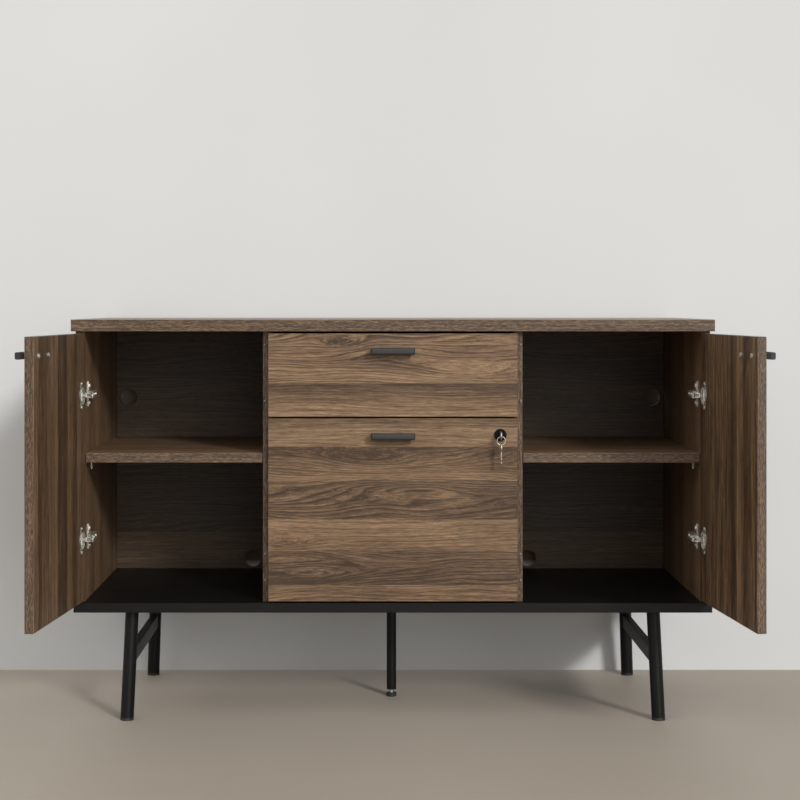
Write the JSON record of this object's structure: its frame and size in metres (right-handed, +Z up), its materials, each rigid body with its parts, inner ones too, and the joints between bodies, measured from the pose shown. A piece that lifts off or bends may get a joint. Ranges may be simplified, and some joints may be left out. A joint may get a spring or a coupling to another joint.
{
  "type": "office credenza",
  "caption": "Walnut-laminate office credenza with hinged doors, shelves, a box drawer and a locking file drawer on black steel legs.",
  "frame": {"origin": "on the floor under the centre leg's glide pad, midway in width and depth", "axes": "+X towards the right-hand door, -Y out of the fronts towards the user, +Z up"},
  "size_m": [1.2882, 0.814, 0.75],
  "materials": {
    "black_laminate": "satin black laminate",
    "black_lock": "black lock face",
    "black_plastic": "moulded black plastic",
    "black_steel": "satin black powder coat",
    "charcoal_zinc": "satin charcoal coat",
    "drawer_box_board": "pale laminated drawer board",
    "nickel_steel": "nickel-plated pressed steel",
    "walnut_laminate": "satin walnut-grain laminate",
    "zinc_steel": "zinc-plated steel"
  },
  "bodies": {
    "carcass": {"top_panel": "walnut_laminate", "base_panel": "black_laminate", "side_panel_left": "walnut_laminate", "side_panel_right": "walnut_laminate", "divider_left": "walnut_laminate", "divider_right": "walnut_laminate", "back_panel": "walnut_laminate", "shelf_pins": "nickel_steel", "leg_front_left": "black_steel", "leg_front_right": "black_steel", "leg_rear_left": "black_steel", "leg_rear_right": "black_steel", "leg_plates": "black_steel", "leg_foot_caps": "black_plastic", "leg_screws": "zinc_steel", "stretcher_left": "black_steel", "stretcher_right": "black_steel", "center_leg": "black_steel", "hinge_plates": "nickel_steel", "hinge_arms": "nickel_steel", "hinge_arm_pins": "nickel_steel", "hinge_plate_screws": "nickel_steel", "slide_cabinet_members": "zinc_steel"},
    "door_left": {"door_left": "walnut_laminate", "hinge_cups_left": "nickel_steel", "door_handle_left": "charcoal_zinc", "door_screws_left": "zinc_steel"},
    "outer_links_left": {"hinge_outer_links_left": "nickel_steel"},
    "inner_links_left": {"hinge_inner_links_left": "nickel_steel"},
    "shelf_left": {"shelf_left": "walnut_laminate"},
    "door_right": {"door_right": "walnut_laminate", "hinge_cups_right": "nickel_steel", "door_handle_right": "charcoal_zinc", "door_screws_right": "zinc_steel"},
    "outer_links_right": {"hinge_outer_links_right": "nickel_steel"},
    "inner_links_right": {"hinge_inner_links_right": "nickel_steel"},
    "shelf_right": {"shelf_right": "walnut_laminate"},
    "top_drawer": {"top_drawer_front": "walnut_laminate", "top_drawer_box": "drawer_box_board", "top_drawer_bottom": "drawer_box_board", "top_drawer_handle": "charcoal_zinc", "top_drawer_screws": "zinc_steel", "top_slide_drawer_members": "zinc_steel"},
    "top_slide_middles": {"top_slide_middles": "zinc_steel"},
    "file_drawer": {"file_drawer_front": "walnut_laminate", "file_drawer_box": "drawer_box_board", "file_drawer_bottom": "drawer_box_board", "file_drawer_handle": "charcoal_zinc", "file_drawer_screws": "zinc_steel", "file_slide_drawer_members": "zinc_steel", "file_rails": "zinc_steel", "lock_housing": "black_lock"},
    "file_slide_middles": {"file_slide_middles": "zinc_steel"},
    "lock_plug": {"lock_plug": "black_lock", "lock_cam": "zinc_steel"},
    "key": {"key": "nickel_steel"},
    "key_ring": {"key_ring": "nickel_steel"},
    "spare_key": {"spare_key": "nickel_steel"},
    "glide": {"glide_stem": "zinc_steel", "glide_pad": "black_plastic"}
  },
  "joints": [
    {"name": "outer_links_left_turn", "type": "hinge", "parent": "carcass", "child": "outer_links_left", "pos_m": [-0.5705, -0.2221, 0.4745], "axis": [0, 0, 1], "range_deg": [-35.56, 2.96]},
    {"name": "door_left_swing", "type": "hinge", "parent": "outer_links_left", "child": "door_left", "pos_m": [-0.58039, -0.23149, 0.4745], "axis": [0, 0, 1], "range_deg": [-10.71, 130.71]},
    {"name": "inner_links_left_turn", "type": "hinge", "parent": "carcass", "child": "inner_links_left", "pos_m": [-0.563, -0.215, 0.4745], "axis": [0, 0, 1], "range_deg": [-20.33, 1.71]},
    {"name": "outer_links_right_turn", "type": "hinge", "parent": "carcass", "child": "outer_links_right", "pos_m": [0.5705, -0.2221, 0.4745], "axis": [0, 0, -1], "range_deg": [-35.56, 2.96]},
    {"name": "door_right_swing", "type": "hinge", "parent": "outer_links_right", "child": "door_right", "pos_m": [0.58039, -0.23149, 0.4745], "axis": [0, 0, -1], "range_deg": [-10.71, 130.71]},
    {"name": "inner_links_right_turn", "type": "hinge", "parent": "carcass", "child": "inner_links_right", "pos_m": [0.563, -0.215, 0.4745], "axis": [0, 0, -1], "range_deg": [-20.33, 1.71]},
    {"name": "top_drawer_slide", "type": "slide", "parent": "carcass", "child": "top_drawer", "axis": [0, -1, 0], "range_m": [0, 0.38]},
    {"name": "top_slide_middles_run", "type": "slide", "parent": "carcass", "child": "top_slide_middles", "axis": [0, -1, 0], "range_m": [0, 0.1905]},
    {"name": "file_drawer_slide", "type": "slide", "parent": "carcass", "child": "file_drawer", "axis": [0, -1, 0], "range_m": [0, 0.38]},
    {"name": "file_slide_middles_run", "type": "slide", "parent": "carcass", "child": "file_slide_middles", "axis": [0, -1, 0], "range_m": [0, 0.1905]},
    {"name": "lock_turn", "type": "hinge", "parent": "file_drawer", "child": "lock_plug", "pos_m": [0.2, -0.2378, 0.535], "axis": [0, -1, 0], "range_deg": [0, 90]},
    {"name": "key_slide", "type": "slide", "parent": "lock_plug", "child": "key", "axis": [0, -1, 0], "range_m": [0, 0.03]},
    {"name": "key_ring_swing", "type": "hinge", "parent": "key", "child": "key_ring", "pos_m": [0.2, -0.2614, 0.53365], "axis": [1, 0, 0], "range_deg": [-60, 15]},
    {"name": "spare_key_swing", "type": "hinge", "parent": "key_ring", "child": "spare_key", "pos_m": [0.2, -0.2614, 0.51825], "axis": [1, 0, 0], "range_deg": [-45, 12]},
    {"name": "shelf_left_lift", "type": "slide", "parent": "carcass", "child": "shelf_left", "axis": [0, 0, 1], "range_m": [0, 0.064]},
    {"name": "shelf_right_lift", "type": "slide", "parent": "carcass", "child": "shelf_right", "axis": [0, 0, 1], "range_m": [0, 0.064]},
    {"name": "glide_height", "type": "slide", "parent": "carcass", "child": "glide", "axis": [0, 0, 1], "range_m": [-0.012, 0.006]}
  ],
  "couplings": [
    {"joint": "outer_links_left_turn", "follows": "door_left_swing", "ratio": -0.27167},
    {"joint": "inner_links_left_turn", "follows": "door_left_swing", "ratio": -0.15513},
    {"joint": "outer_links_right_turn", "follows": "door_right_swing", "ratio": -0.27167},
    {"joint": "inner_links_right_turn", "follows": "door_right_swing", "ratio": -0.15513},
    {"joint": "top_slide_middles_run", "follows": "top_drawer_slide", "ratio": 0.5},
    {"joint": "file_slide_middles_run", "follows": "file_drawer_slide", "ratio": 0.5}
  ]
}
